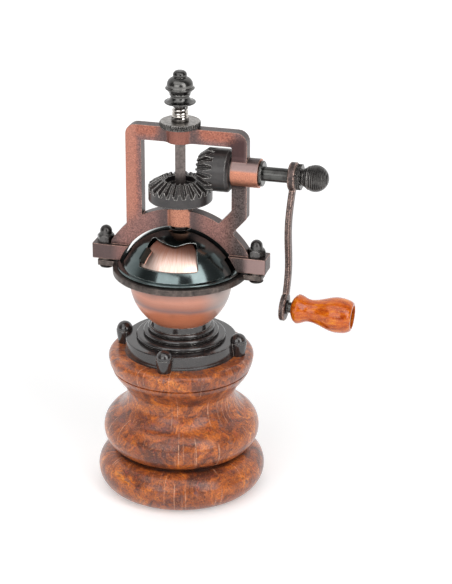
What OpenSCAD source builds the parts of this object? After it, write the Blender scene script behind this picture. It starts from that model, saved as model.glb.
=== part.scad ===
// Hand crank coffee grinder: turned wooden base, cast yoke frame, bevel gears, hopper and burrs.
// Millimetres, +Z up, origin at the centre of the foot. The crank axle runs along +X, the front is -Y.

/* [Wooden base] */
// Height of the turned wooden base
base_h = 66.8; // [62:0.2:75]
// Radius of the foot bead
foot_r = 38.5; // [36:0.1:42]
// Radius of the bulb above the foot
bulb_r = 35.8; // [33:0.1:38]
// Radius of the waist
waist_r = 24.5; // [22:0.1:27]
// Radius of the top lip
lip_r = 33.1; // [31:0.1:36]
// Radius of the bore through the base
bore_r = 13.5; // [12:0.1:16]
// Radius of the burr recess under the base
recess_r = 20.3; // [19:0.1:24]
// Depth of the burr recess under the base
recess_h = 12; // [10:0.1:16]

/* [Base flange] */
// Radius of the flange rim
flange_r = 25.3; // [24:0.1:28]
// Thickness of the flange disc
flange_t = 6.4; // [5:0.1:8]
// Radius of the stepped foot ring on the flange
step_r = 20.4; // [19.5:0.1:22]
// Radius of the ringed column
column_r = 17.2; // [16.5:0.1:18.5]
// Number of rings on the column
column_rings = 2; // [1:1:2]
// Height of one ring of the column
ring_pitch = 2.05; // [1.5:0.05:2.4]
// Outer radius of the flange neck
neck_r = 13.9; // [13.4:0.1:15.5]
// Radius of the passage through the flange neck
throat_r = 12.3; // [10:0.1:12.4]
// Radius of the circle that the screw lugs stand on
lug_circle_r = 26.9; // [26:0.1:29]
// Radius of a lug at its top
lug_r = 3.85; // [3:0.05:4.2]

/* [Hopper] */
// Outer radius of the bowl
bowl_r = 23; // [22:0.1:24]
// Wall of the bowl, the dome and the door leaf
sheet_t = 0.9; // [0.7:0.05:1.1]
// Height of the bowl centre above the foot
bowl_z = 100.7; // [99.5:0.1:102]
// Outer radius of the dome
dome_r = 28.3; // [27.5:0.1:28.6]
// Clearance of the clamp ring round the bowl
ring_fit = 0.4; // [0.2:0.05:0.6]
// Outer radius of the clamp ring
ring_r = 30.6; // [30:0.1:33]
// Thickness of the clamp ring
ring_t = 2.9; // [2.4:0.1:4]
// Lower edge of the door opening above the clamp ring
door_sill = 5.4; // [5:0.1:8]
// Height of the door opening
door_h = 10.5; // [8:0.1:11]
// Width of the door opening at its sill
door_w = 28; // [22:0.5:30]
// Inward lean of each side of the door opening
door_lean = 3.6; // [1:0.1:5]

/* [Yoke frame] */
// Height of the crank axle above the foot
crank_z = 154.5; // [152:0.1:158]
// Depth of the frame bars, front to back
frame_d = 5.5; // [4.5:0.1:6.5]
// Outer side of the left leg, from the shaft
left_out = 24.4; // [22:0.1:27]
// Width of the left leg
left_w = 7.2; // [5:0.1:8]
// Outer side of the right leg, from the shaft
right_out = 30.9; // [29:0.1:35]
// Width of the right leg
right_w = 6.8; // [5:0.1:8]
// Top of the top bar above the crank axle
bar_top = 18.35; // [17:0.05:23]
// Height of the top bar
bar_h = 6.7; // [6:0.1:9]
// Width of the arch over the dome
arch_w = 7.8; // [6.5:0.1:9.5]
// Running gap between the arch and the dome
arch_gap = 1; // [0.6:0.1:2]
// Radius of the top boss
top_boss_r = 5.9; // [5.5:0.1:7.5]
// Radius of the lower boss
low_boss_r = 5.6; // [5.4:0.1:7.5]
// Radius of the crank boss
crank_boss_r = 6.5; // [5.8:0.1:7.5]
// Radius of the blends between bosses and bars
blend_r = 4; // [2:0.5:8]
// Distance of the ear bolts from the shaft
ear_x = 35; // [34:0.1:38]
// Thickness of the ears
ear_t = 6.8; // [5:0.1:8]
// Depth of the ears, front to back
ear_d = 10; // [9:0.1:13]
// Length of the ears past the bolts
ear_end = 5.2; // [4.6:0.1:7]

/* [Gears and shaft] */
// Teeth of the crown gear
crown_teeth = 24; // [24:1:24]
// Teeth of the pinion
pinion_teeth = 16; // [16:1:16]
// Outer radius of the crown gear
crown_r = 14.24; // [13.5:0.05:15]
// Face width of the teeth as a share of the cone
tooth_face = 0.38; // [0.3:0.01:0.45]
// Side of the square drive shaft
shaft_side = 4.6; // [4:0.1:5.2]
// Rest angle of the square shaft
shaft_turn = 16; // [0:1:45]
// Diameter of the crank axle
axle_d = 6.4; // [5.6:0.1:7]

/* [Crank] */
// Distance between the two eyes of the crank arm
arm_l = 61.8; // [55:0.1:75]
// Thickness of the crank arm
arm_t = 2.6; // [2:0.1:3.5]
// Width of the crank arm
arm_w = 4.6; // [4:0.1:6]
// Sideways swing of the S shape of the arm
arm_sway = 3.5; // [0:0.1:5]
// Slant of the crank arm on its axle
arm_slant = 3; // [0:0.5:4]
// Radius of the crank arm eyes
eye_r = 6.3; // [5.5:0.1:7.5]
// Length of the handle grip
grip_l = 27.6; // [24:0.1:34]
// Largest radius of the handle grip
grip_r = 7.95; // [7:0.05:10]
// Radius of the handle pin
pin_r = 2.4; // [1.8:0.1:2.8]
// Radius of the ball on the crank nut
ball_r = 5.9; // [5:0.1:7.5]

/* [Adjuster and finial] */
// Radius of the knurled adjusting nut
adjust_r = 9.05; // [8:0.05:10]
// Thickness of the knurled adjusting nut
adjust_t = 2.6; // [1.8:0.1:3]
// Radius of the threaded top of the shaft
thread_r = 2.2; // [1.8:0.05:2.25]
// Wire diameter of the spring
wire_d = 1.1; // [0.8:0.05:1.2]
// Outer radius of the spring
spring_r = 3.7; // [3.6:0.05:4]
// Length of the spring
spring_l = 5.4; // [4.5:0.1:7]
// Radius of the lower flange of the finial
finial_r = 6.95; // [6:0.05:8]
// Height of the finial knob
finial_h = 16.3; // [14:0.1:20]

/* [Burrs and small fasteners] */
// Height of the outer burr barrel
burr_h = 14; // [11:0.1:18]
// Working gap between the burrs
burr_gap = 0.9; // [0.8:0.05:1.2]
// Teeth of the burrs
burr_teeth = 12; // [8:1:16]
// Thickness of the burr bridge
bridge_t = 2; // [1.6:0.1:2.6]
// Radius of the ear bolts
bolt_r = 2; // [1.6:0.1:2.3]
// Radius of the flange screw shanks
screw_r = 1.4; // [1.2:0.1:1.8]
// Running clearance of shafts in their bores, on the radius
run_gap = 0.06; // [0.03:0.01:0.09]
// Gap between parts that pass or rest on each other
pass_gap = 0.25; // [0.15:0.05:0.35]

/* [Hidden] */
$fn = 96;

// Colours
copper = [0.72, 0.42, 0.3];
bronze = [0.36, 0.28, 0.26];
black = [0.12, 0.12, 0.13];
steel = [0.62, 0.62, 0.64];
burl = [0.55, 0.27, 0.14];
varnish = [0.85, 0.42, 0.1];

// Base, flange and hopper levels
foot_bead = 9.2;
bulb_bead = 10.6;
cove = 9.2;
lip_arc = 11.1;
lip_round = 3.7;
bulb_z = 29.5;
waist_out = waist_r + cove - bulb_r + bulb_bead;
waist_z = bulb_z + sqrt((bulb_bead + cove) ^ 2 - waist_out ^ 2);
bulb_turn = atan2(waist_z - bulb_z, waist_out);
flange_top = base_h + flange_t;
step_h = 2.1;
step_top = flange_top + step_h;
ring_step = 2;
column_top = step_top + column_rings * ring_pitch;
neck_top = bowl_z - sqrt(bowl_r ^ 2 - neck_r ^ 2);
screw_l = 8.5;
ring_z = bowl_z + 4;
ring_top = ring_z + ring_t;
rim_t = 1;
rim_r = ring_r - 3.5;
spigot_h = 3;
foot_t = 1.3;
foot_out = ring_r - 2;
dome_z = ring_top - 9.6;
sill_z = ring_top + door_sill;
leaf_r = dome_r - sheet_t - pass_gap;
leaf_t = 0.7;
leaf_lap = 1.6;
door_dip = 1.5;
tab_out = 2.6;
tab_t = 1;
pivot_r = 4.9;
pivot_lip = 1.6;
pivot_bore = 4.4;

// Yoke frame
ear_bottom = ring_top + foot_t + 0.1;
ear_top = ear_bottom + ear_t;
ring_ear_t = 2.4;
bar_z = crank_z + bar_top;
window_top = bar_z - bar_h;
arch_in = dome_r + arch_gap;
arch_out = arch_in + arch_w;
right_in = right_out - right_w;
knee_out = right_in + 0.8;
knee_z = crank_z - 17.9;
knee_run = 5.8;
knee_slope = 1.13;
knee_drop = 9.9;
low_boss_top = crank_z - 15.6;
boss_in = right_in;
boss_out = right_in + 12.3;
nut_af = 7.2;

// Gears: the pitch cones meet where the shaft and the axle cross
heel_pitch_r = crown_r - 0.64;
crown_cone = atan(crown_teeth / pinion_teeth);
cone_l = heel_pitch_r / sin(crown_cone);
module_size = 2 * heel_pitch_r / crown_teeth;
addendum = 0.72 * module_size;
dedendum = 0.95 * module_size;
tooth_width = 0.4 * PI * module_size;
flank = 22;
toe = 1 - tooth_face;
crown_bottom = low_boss_top + 0.1;
hub_r = low_boss_r - 1.5;
well_r = 6.85;
well_h = 3;
washer_t = 0.5;
sleeve_l = 11;
pinion_r = 9.6;
pinion_front = 9;

// Shaft and adjuster
thread_bottom = window_top - 1;
shaft_bottom = 3;
journal_r = 2.2;
cup_r = 3.9;
cup_h = 1.3;
nut_z = bar_z + 0.05;
cup_z = nut_z + adjust_t;
spring_z = cup_z + cup_h - 0.4;
finial_z = spring_z + spring_l;
rod_in = 5;

// Crank
collar_t = 1.5;
collar_r = 5.7;
eye_x = boss_out + 14.8;
upper_eye_t = 3.4;
lower_eye_t = 2.6;
nut_x = eye_x + upper_eye_t / 2;
stud_r = axle_d / 2 - 0.8;
stud_l = 5;
grip_x = lower_eye_t / 2 + 2.3;
grip_recess_r = 5.2;
grip_recess = 2.5;
pin_head_r = 3.8;
pin_head_h = 1.4;

// Burrs
burr_top = recess_h + burr_h;
burr_flange_t = 2.2;
burr_bottom = recess_h - burr_flange_t;
burr_exit_r = 9.3;
burr_entry_r = 10.6;
bridge_top = burr_bottom - 1.4;
bridge_w = 7;
bridge_x = 16.6;

// Points of an arc about [cx, cz], from angle a0 to a1
function arc(cx, cz, r, a0, a1, n = 12) =
    [for (i = [0:n]) let (a = a0 + (a1 - a0) * i / n) [cx + r * cos(a), cz + r * sin(a)]];

// Points of a smooth S-shaped step from point a to point b
function ease(a, b, n = 10) =
    [for (i = [0:n]) let (q = i / n) [a.x + (b.x - a.x) * q, a.y + (b.y - a.y) * (1 - cos(180 * q)) / 2]];

// Points of the round corner b between points a and c
function corner(a, b, c, r, n = 6) =
    let (u = (a - b) / norm(a - b), v = (c - b) / norm(c - b), half = acos(u * v) / 2)
    let (m = b + (u + v) / norm(u + v) * r / sin(half), s = b + u * r / tan(half) - m, e = b + v * r / tan(half) - m)
    let (a0 = atan2(s.y, s.x), turn = (atan2(e.y, e.x) - a0 + 540) % 360 - 180)
    arc(m.x, m.y, r, a0, a0 + turn, n);

// Closed outline p with its corners rounded to the radii r, where 0 keeps a corner sharp
function rounded(p, r) =
    [for (i = [0:len(p) - 1]) each r[i] > 0
        ? corner(p[(i + len(p) - 1) % len(p)], p[i], p[(i + 1) % len(p)], r[i])
        : [p[i]]];

// Height or radius of a sphere of radius r about c, at distance q from its centre line
function up(r, c, q) = c + sqrt(r ^ 2 - q ^ 2);
function low(r, c, q) = c - sqrt(r ^ 2 - q ^ 2);

module lathe(points) rotate_extrude() polygon(points);

module along_x(x = 0, z = crank_z) translate([x, 0, z]) rotate([0, 90, 0]) children();

module along_y(z, d) translate([0, d / 2, z]) rotate([90, 0, 0]) children();

module tube(r_out, r_in, h) difference() {
    cylinder(r = r_out, h = h);
    translate([0, 0, -1]) cylinder(r = r_in, h = h + 2);
}

module four_lugs() for (a = [0, 90, 180, 270]) rotate(a) translate([lug_circle_r, 0, 0]) children();

module both_ears() for (s = [-1, 1]) translate([s * ear_x, 0, 0]) children();

// Bar of width w from the shaft line out to x, with round outer corners
module bar_end(x, w, r) polygon(rounded([[10, -w / 2], [x, -w / 2], [x, w / 2], [10, w / 2]], [0, r, r, 0]));

// Closed skin over a list of rings with the same number of points each
module skin(rings) {
    n = len(rings[0]);
    last = len(rings) - 1;
    polyhedron(
        points = [for (ring = rings) each ring],
        faces = concat([[for (k = [n - 1:-1:0]) k]],
            [for (i = [0:last - 1], k = [0:n - 1], t = [0, 1]) let (a = i * n + k, b = i * n + (k + 1) % n)
                t == 0 ? [a, b, b + n] : [a, b + n, a + n]],
            [[for (k = [0:n - 1]) last * n + k]]));
}

// Plan of a round boss of radius r, blended into a bar of depth d that runs along X
module blended_boss(r, d) {
    sink = 0.04;
    side = d / 2 + blend_r - sink;
    reach = sqrt((r + blend_r) ^ 2 - side ^ 2);
    circle(r = r);
    difference() {
        square([2 * reach, 2 * side * (r - sink) / (r + blend_r)], center = true);
        for (x = [-reach, reach], y = [-side, side]) translate([x, y]) circle(r = blend_r);
    }
}

// Star outline of a knurled rim of radius r with n ridges
module knurl(r, depth, n) polygon([for (i = [0:2 * n - 1]) let (a = 180 * i / n, q = r - depth * (i % 2))
    [q * cos(a), q * sin(a)]]);

// Wedge shaped gap between two bevel gear teeth, with every edge running to the apex at the origin
module tooth_gap(cone) {
    half = (PI * module_size - tooth_width) / 2;
    top = 1.6 * addendum;
    w_low = half - dedendum * tan(flank);
    w_high = half + top * tan(flank);
    skin([for (s = [1.2, toe - 0.12]) [for (c = [[-w_low, -dedendum], [w_low, -dedendum], [w_high, top], [-w_high, top]])
        s * [cone_l * sin(cone) + c.y * cos(cone), c.x, -cone_l * cos(cone) + c.y * sin(cone)]]]);
}

// Points of the tooth form in the plane of its axis: h above the pitch cone, at the share s of the cone
function on_cone(cone, s, h) = s * [cone_l * sin(cone) + h * cos(cone), h * sin(cone) - cone_l * cos(cone)];

// Wooden base: foot bead, bulb, waist cove and lip, bored through and recessed below
module wood_base() color(burl) {
    foot_c = foot_r - foot_bead;
    difference() {
        lathe(concat(
            [[0, 0]],
            arc(foot_c, foot_bead, foot_bead, -90, 94, 24),
            arc(bulb_r - bulb_bead, bulb_z, bulb_bead, -74, bulb_turn, 20),
            arc(waist_r + cove, waist_z, cove, 180 + bulb_turn, 113, 22),
            [[lip_r - 3.3, base_h - 9.4]],
            arc(lip_r - lip_arc, base_h - lip_round, lip_arc, -27, 0, 7),
            arc(lip_r - lip_round, base_h - lip_round, lip_round, 12, 90, 9),
            [[0, base_h]]));
        translate([0, 0, -1]) cylinder(r = bore_r, h = base_h + 2);
        translate([0, 0, -1]) cylinder(r = recess_r, h = recess_h + 1);
        four_lugs() translate([0, 0, base_h - screw_l - 0.5]) cylinder(r = screw_r, h = 10);
        both_bridge_screws() translate([0, 0, recess_h - 1]) cylinder(r = screw_r, h = 8);
    }
}

module both_bridge_screws() for (s = [-1, 1]) translate([s * bridge_x, 0, 0]) children();

// Base flange: disc with four screw lugs, a low step, a ringed column and the neck
module base_flange() color(black) difference() {
    union() {
        lathe(concat(
            [[0, base_h], [flange_r + 0.5, base_h], [flange_r + 0.3, base_h + 1.2]],
            arc(flange_r - 0.6, flange_top - 0.6, 0.6, 0, 90, 4),
            arc(step_r - step_h / 2, flange_top + step_h / 2, step_h / 2, -70, 90, 9),
            [for (i = [0:column_rings - 1]) each
                arc(column_r - i * ring_step - ring_pitch / 2, step_top + (i + 0.5) * ring_pitch,
                    ring_pitch / 2, -80, 90, 8)],
            [[neck_r, column_top], [neck_r, neck_top + 0.4], [0, neck_top + 0.4]]));
        four_lugs() translate([0, 0, base_h]) {
            cylinder(r1 = lug_r * 0.8, r2 = lug_r, h = flange_t - 1);
            translate([0, 0, flange_t - 1]) cylinder(r = lug_r, h = 1);
        }
    }
    translate([0, 0, base_h - 1]) cylinder(r = throat_r, h = 30);
    translate([0, 0, bowl_z]) sphere(r = bowl_r + 0.05);
    four_lugs() translate([0, 0, base_h - 1]) cylinder(r = screw_r + 0.15, h = flange_t + 3);
}

// Four dome headed wood screws in the lugs of the flange
module flange_screws() color(black) four_lugs() {
    head_z = flange_top + 0.02;
    head = lug_r - 0.2;
    translate([0, 0, base_h - screw_l]) cylinder(r = screw_r, h = head_z - base_h + screw_l + 0.2);
    translate([0, 0, head_z]) lathe(concat([[0, 0]], arc(0, 0.2, head, -3, 90, 16)));
}

// Bowl: spun hemisphere with a spigot in the neck and a rim flange in the clamp ring
module hopper_bowl() color(copper) {
    inner = bowl_r - sheet_t;
    spigot_r = throat_r - 0.05;
    outlet_r = spigot_r - sheet_t;
    rim_z = ring_top - rim_t;
    difference() {
        union() {
            intersection() {
                translate([0, 0, bowl_z]) sphere(r = bowl_r);
                translate([0, 0, low(bowl_r, bowl_z, spigot_r)]) cylinder(r = bowl_r + 1, h = 60);
            }
            translate([0, 0, neck_top - spigot_h]) cylinder(r = spigot_r, h = spigot_h);
        }
        intersection() {
            translate([0, 0, bowl_z]) sphere(r = inner);
            translate([0, 0, low(inner, bowl_z, outlet_r)]) cylinder(r = bowl_r + 1, h = 60);
        }
        translate([0, 0, neck_top - spigot_h - 1]) cylinder(r = outlet_r, h = 8);
        translate([0, 0, rim_z]) cylinder(r = bowl_r + 2, h = 30);
    }
    translate([0, 0, rim_z]) tube(rim_r, up(inner, 0, rim_z - bowl_z), rim_t);
}

// Clamp ring with an ear and a raised pad on each side
module clamp_ring() color(bronze) difference() {
    union() {
        translate([0, 0, ring_z]) lathe(concat([[0, 0], [ring_r - 0.3, 0], [ring_r, 0.3]],
            arc(ring_r - 0.5, ring_t - 0.5, 0.5, 0, 90, 4), [[0, ring_t]]));
        for (s = [0, 1]) mirror([s, 0, 0]) translate([0, 0, ring_top - ring_ear_t]) difference() {
            linear_extrude(ring_ear_t) bar_end(ear_x + ear_end - 2, ear_d - 2, 1);
            translate([0, 0, -1]) cylinder(r = bowl_r + 3, h = 9);
        }
        both_ears() translate([0, 0, ring_top - 1]) cylinder(r = ear_d / 2 - 1.3, h = 1 + ear_bottom - ring_top);
    }
    translate([0, 0, ring_z - 1]) cylinder(r = bowl_r + ring_fit, h = ring_t + 2);
    translate([0, 0, ring_top - rim_t]) cylinder(r = rim_r + 0.1, h = rim_t + 1);
    both_ears() translate([0, 0, ring_z - 2]) cylinder(r = bolt_r + 0.1, h = ring_t + 8);
}

// Front outline of the door opening, with a wavy upper edge
module door_outline() {
    top = sill_z + door_h;
    side = door_w / 2 - door_lean;
    polygon(rounded([[-door_w / 2, sill_z], [door_w / 2, sill_z], [side, top - 1], [7, top - 0.4],
        [1.8, top - door_dip], [-side, top]], [1, 1, 2, 8, 8, 2.5]));
}

// Dome: spun half sphere with a foot flange, a filling opening in front and a hole at the pole
module hopper_dome() color(black) difference() {
    union() {
        difference() {
            translate([0, 0, dome_z]) sphere(r = dome_r);
            translate([0, 0, dome_z]) sphere(r = dome_r - sheet_t);
            translate([0, 0, dome_z - 40]) cylinder(r = 50, h = 40 + ring_top - dome_z);
        }
        translate([0, 0, ring_top]) lathe(concat(
            [[up(dome_r - sheet_t, 0, ring_top - dome_z), 0]],
            arc(foot_out - foot_t / 2, foot_t / 2, foot_t / 2, -90, 90, 8),
            [[up(dome_r - sheet_t, 0, ring_top + foot_t - dome_z), foot_t]]));
    }
    rotate([90, 0, 0]) linear_extrude(40) door_outline();
    translate([0, 0, dome_z]) cylinder(r = pivot_r + 0.02, h = 40);
}

// Flanged bush riveted in the pole of the dome: it carries the door leaf and lets the shaft through
module door_pivot() color(steel) difference() {
    lip_top = up(leaf_r - leaf_t, dome_z, pivot_r + pivot_lip) - 0.1;
    union() {
        translate([0, 0, lip_top - 1]) cylinder(r = pivot_r, h = up(dome_r, dome_z, pivot_r) - lip_top + 1);
        translate([0, 0, lip_top - 1]) cylinder(r = pivot_r + pivot_lip, h = 1);
    }
    translate([0, 0, lip_top - 3]) cylinder(r = pivot_bore, h = 12);
}

// Door leaf: a spherical sector under the dome with an eye about the bush and a thumb tab bent out of it
module hopper_door() color(copper) {
    bottom = sill_z - leaf_lap;
    span = asin(door_w / 2 / up(dome_r, 0, sill_z - dome_z)) + 5;
    eye = pivot_r + 4;
    tab_r = dome_r + tab_out;
    low_end = asin((sill_z + 3.2 - dome_z) / tab_r);
    high_end = asin((sill_z + door_h - door_dip - pass_gap - dome_z) / tab_r);
    difference() {
        intersection() {
            translate([0, 0, dome_z]) sphere(r = leaf_r);
            union() {
                translate([0, 0, bottom]) linear_extrude(40)
                    polygon([[0, 0], for (a = [-span, 0, span]) 2 * dome_r * [sin(a), -cos(a)]]);
                translate([0, 0, up(leaf_r, dome_z, eye)]) cylinder(r = eye, h = 10);
            }
        }
        translate([0, 0, dome_z]) sphere(r = leaf_r - leaf_t);
        translate([0, 0, dome_z]) cylinder(r = pivot_r + run_gap, h = 40);
    }
    rotate(9 - span) translate([tab_t / 2, 0, 0]) rotate([90, 0, -90]) linear_extrude(tab_t) polygon(concat(
        arc(0, dome_z, leaf_r - leaf_t / 2, high_end, low_end, 8),
        arc(0, dome_z, tab_r - 1, low_end, low_end + 0.2, 1),
        arc(0, dome_z, tab_r, low_end + 2, high_end - 2, 8),
        arc(0, dome_z, tab_r - 1, high_end - 0.2, high_end, 1)));
}

// Side view of the yoke: legs and bar about the window, a knee, and the arch over the dome
module yoke_outline() {
    left_in = left_out - left_w;
    difference() {
        union() {
            difference() {
                polygon(rounded([[knee_out, dome_z], [knee_out, knee_z - knee_drop],
                    [right_out, knee_z - knee_drop + (right_out - knee_out) * knee_slope],
                    [right_out, bar_z], [-left_out, bar_z], [-left_out, dome_z]], [0, 1, 1, 5, 4.5, 0]));
                polygon(rounded([[right_in - knee_run, dome_z], [right_in - knee_run, knee_z - knee_run * knee_slope],
                    [right_in, knee_z], [right_in, window_top], [-left_in, window_top], [-left_in, dome_z]],
                    [0, 0.6, 1, 0.8, 0.8, 0]));
            }
            translate([0, dome_z]) circle(r = arch_out);
        }
        translate([0, dome_z]) circle(r = arch_in);
        translate([-60, ear_bottom - 100]) square([120, 100]);
    }
}

// Yoke frame: one casting with the legs, arch, ears and the three blended bosses
module yoke_frame() color(copper) difference() {
    low_boss_z = dome_z + arch_in + 0.4;
    union() {
        along_y(0, frame_d) linear_extrude(frame_d) yoke_outline();
        difference() {
            for (s = [0, 1]) mirror([s, 0, 0]) translate([0, 0, ear_bottom])
                linear_extrude(ear_t) bar_end(ear_x + ear_end, ear_d, 0.8);
            along_y(dome_z, 60) cylinder(r = arch_in, h = 60);
        }
        translate([0, 0, window_top]) linear_extrude(bar_h) blended_boss(top_boss_r, frame_d);
        translate([0, 0, low_boss_z]) cylinder(r = low_boss_r, h = low_boss_top - low_boss_z);
        intersection() {
            translate([0, 0, low_boss_z]) linear_extrude(12) blended_boss(low_boss_r, frame_d);
            along_y(dome_z, 60) cylinder(r = arch_out, h = 60);
        }
        along_x(boss_in) cylinder(r = crank_boss_r, h = boss_out - boss_in);
        along_x(right_in) linear_extrude(right_w) blended_boss(crank_boss_r, frame_d);
    }
    translate([0, 0, window_top - 1]) cylinder(r = thread_r + run_gap, h = bar_h + 2);
    translate([0, 0, low_boss_z - 9]) cylinder(r = hub_r + run_gap, h = low_boss_top - low_boss_z + 12);
    along_x(boss_in - 1) cylinder(r = axle_d / 2 + run_gap, h = boss_out - boss_in + 2);
    both_ears() {
        translate([0, 0, ear_bottom - 1]) cylinder(r = bolt_r + 0.1, h = ear_t + 2);
        translate([0, 0, ear_top]) cylinder(r = nut_af * 0.58, h = 9);
    }
}

// Two bolts with low round heads that clamp the ring to the yoke ears
module ear_bolts() color(bronze) both_ears() {
    head_z = ring_top - ring_ear_t;
    translate([0, 0, head_z]) rotate([180, 0, 0]) lathe(concat([[0, 0]], arc(bolt_r + 0.6, 1.1, 0.6, 0, 90, 4), [[0, 1.7]]));
    translate([0, 0, head_z - 0.1]) cylinder(r = bolt_r, h = ear_top + 4.6 - head_z);
}

// Two acorn nuts on the yoke ears
module acorn_nuts() color(bronze) both_ears() translate([0, 0, ear_top]) difference() {
    corner_r = nut_af / sqrt(3);
    dome = nut_af * 0.38;
    hex_h = 3.6;
    union() {
        intersection() {
            cylinder(r = corner_r, h = hex_h, $fn = 6);
            lathe([[0, 0], [corner_r - 0.3, 0], [corner_r, 0.4], [corner_r, hex_h - 1], [corner_r - 1, hex_h], [0, hex_h]]);
        }
        lathe(concat([[0, 3], [dome, 3]], arc(0, hex_h + 1.2, dome, 0, 90, 8)));
    }
    translate([0, 0, -1]) cylinder(r = bolt_r, h = 5.7);
}

// Square drive shaft with a round journal below and a threaded rod above
module drive_shaft() color(steel) {
    translate([0, 0, shaft_bottom]) cylinder(r = journal_r, h = burr_bottom - shaft_bottom + 1);
    translate([-shaft_side / 2, -shaft_side / 2, burr_bottom]) cube([shaft_side, shaft_side, thread_bottom - burr_bottom]);
    translate([0, 0, thread_bottom - 1]) cylinder(r = thread_r, h = finial_z + rod_in + 1 - thread_bottom);
}

module square_hole(z, h) {
    side = shaft_side + 2 * run_gap;
    translate([-side / 2, -side / 2, z]) cube([side, side, h]);
}

// Crown gear: straight bevel teeth round a well, and a sleeve that runs in the lower boss
module crown_gear() color(black) {
    bottom = crown_bottom - crank_z;
    tip = on_cone(crown_cone, toe, addendum);
    root = on_cone(crown_cone, toe, -dedendum);
    translate([0, 0, crank_z]) difference() {
        union() {
            lathe([[0, bottom], [crown_r - 0.4, bottom], [crown_r, bottom + 0.4], tip * crown_r / tip.x,
                tip, [root.x - 0.2, root.y - 0.35], [0, root.y - 0.35]]);
            translate([0, 0, bottom - sleeve_l]) cylinder(r = hub_r, h = sleeve_l + 1);
        }
        for (i = [0:crown_teeth - 1]) rotate(360 * (i + 0.5) / crown_teeth) tooth_gap(crown_cone);
        translate([0, 0, root.y - well_h]) cylinder(r = well_r, h = well_h + 1);
        rotate(shaft_turn) square_hole(bottom - sleeve_l - 1, 30);
    }
}

// Pinion: straight bevel teeth on a round body with a bevelled back
module pinion_gear() color(black) {
    cone = 90 - crown_cone;
    tip = on_cone(cone, toe, addendum);
    root = on_cone(cone, toe, -dedendum);
    bevel = on_cone(cone, toe + 0.06, addendum);
    nose = on_cone(cone, toe, addendum * 0.2);
    back = washer_t + 0.1 - boss_in;
    translate([0, 0, crank_z]) rotate([0, -90, 0]) difference() {
        lathe([[0, back], [pinion_r - 1.4, back], [pinion_r - 0.2, back + 0.9],
            [pinion_r, back + 1.2], tip * pinion_r / tip.x, bevel, nose, [root.x - 0.2, root.y - 0.3],
            [0, root.y - 0.3]]);
        for (i = [0:pinion_teeth - 1]) rotate(360 * i / pinion_teeth) tooth_gap(cone);
        translate([0, 0, back - 1]) cylinder(r = axle_d / 2, h = 30);
    }
}

// Crank axle through the pinion, the boss and the arm, with a threaded end in the ball nut
module crank_axle() color(black) {
    along_x(pinion_front) cylinder(r = axle_d / 2, h = eye_x - pinion_front);
    along_x(eye_x - 1) cylinder(r = stud_r, h = nut_x + stud_l - eye_x + 1);
}

module thrust_washer() color(steel) along_x(boss_in - washer_t - 0.05) tube(collar_r, axle_d / 2, washer_t);

module axle_collar() color(black) along_x(boss_out + 0.05) difference() {
    lathe([[0, 0], [collar_r - 0.3, 0], [collar_r, 0.3], [collar_r, collar_t - 0.3], [collar_r - 0.3, collar_t], [0, collar_t]]);
    translate([0, 0, -1]) cylinder(r = axle_d / 2, h = collar_t + 2);
}

// Eye of the crank arm: a disc with bevelled rims, t thick
module arm_eye(t) {
    bevel = 0.5;
    translate([0, 0, -t / 2]) lathe([[0, 0], [eye_r - bevel, 0], [eye_r, bevel], [eye_r, t - bevel], [eye_r - bevel, t], [0, t]]);
}

// Frame of the slanted arm: origin in the upper eye, X along the handle pin, -Z to the lower eye
module slanted() translate([eye_x, 0, crank_z]) rotate([0, arm_slant, 0]) children();

// Sideways sway of the arm at the share t of its length, and the lean that goes with it
function sway(t) = -arm_sway * sin(360 * (t - 0.09) / 0.91);
function lean(t) = atan((sway(t + 0.01) - sway(t - 0.01)) / (0.02 * arm_l));

// Crank arm: an S-shaped bar with bevelled edges between its two eyes
module crank_arm() color(bronze) {
    steps = 28;
    a = arm_t / 2;
    b = arm_w / 2;
    bevel = 0.7;
    section = [[a, bevel - b], [a, b - bevel], [a - bevel, b], [bevel - a, b],
        [-a, b - bevel], [-a, bevel - b], [bevel - a, -b], [a - bevel, -b]];
    difference() {
        union() {
            slanted() skin([for (i = [2:steps - 2]) let (t = i / steps, q = lean(t))
                [for (p = section) [p.x, sway(t) + p.y * cos(q), p.y * sin(q) - arm_l * t]]]);
            along_x(eye_x) arm_eye(upper_eye_t);
            slanted() translate([0, 0, -arm_l]) rotate([0, 90, 0]) arm_eye(lower_eye_t);
        }
        along_x(eye_x - upper_eye_t) cylinder(r = stud_r + 0.02, h = 2 * upper_eye_t);
        along_x(eye_x - upper_eye_t) cylinder(r = axle_d / 2 + 0.02, h = upper_eye_t + 0.02);
        slanted() translate([-lower_eye_t, 0, -arm_l]) rotate([0, 90, 0])
            cylinder(r = pin_r - 0.58, h = 2 * lower_eye_t);
    }
}

// Ball nut that holds the arm: knurled collar, grooved neck and ball
module ball_nut() color(black) along_x(nut_x) difference() {
    ball_x = 8.1;
    union() {
        linear_extrude(2.1) knurl(collar_r, 0.3, 30);
        lathe([[0, 0], [3.9, 0], [3.9, 2.2], [3.4, 2.5], [3.9, 2.8], [3.9, 3.2], [5.3, 5.1], [0, 6]]);
        translate([0, 0, ball_x]) sphere(r = ball_r);
    }
    translate([0, 0, -1]) cylinder(r = stud_r + 0.02, h = stud_l + 1.1);
}

// Shouldered handle pin: its head holds the grip and its shank is riveted in the arm
module handle_pin() color(steel) slanted() translate([0, 0, -arm_l]) rotate([0, 90, 0]) {
    head_z = grip_x + grip_l - grip_recess + 0.1;
    translate([0, 0, -lower_eye_t / 2]) cylinder(r = pin_r - 0.6, h = lower_eye_t + 1);
    translate([0, 0, lower_eye_t / 2]) cylinder(r = pin_r, h = head_z - lower_eye_t / 2 + 0.5);
    translate([0, 0, lower_eye_t / 2]) cylinder(r = pin_r + 0.8, h = 0.8);
    translate([0, 0, head_z]) lathe(concat([[0, 0]], arc(pin_head_r - 0.7, 0.7, 0.7, 0, 90, 4), [[0, pin_head_h]]));
}

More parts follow.
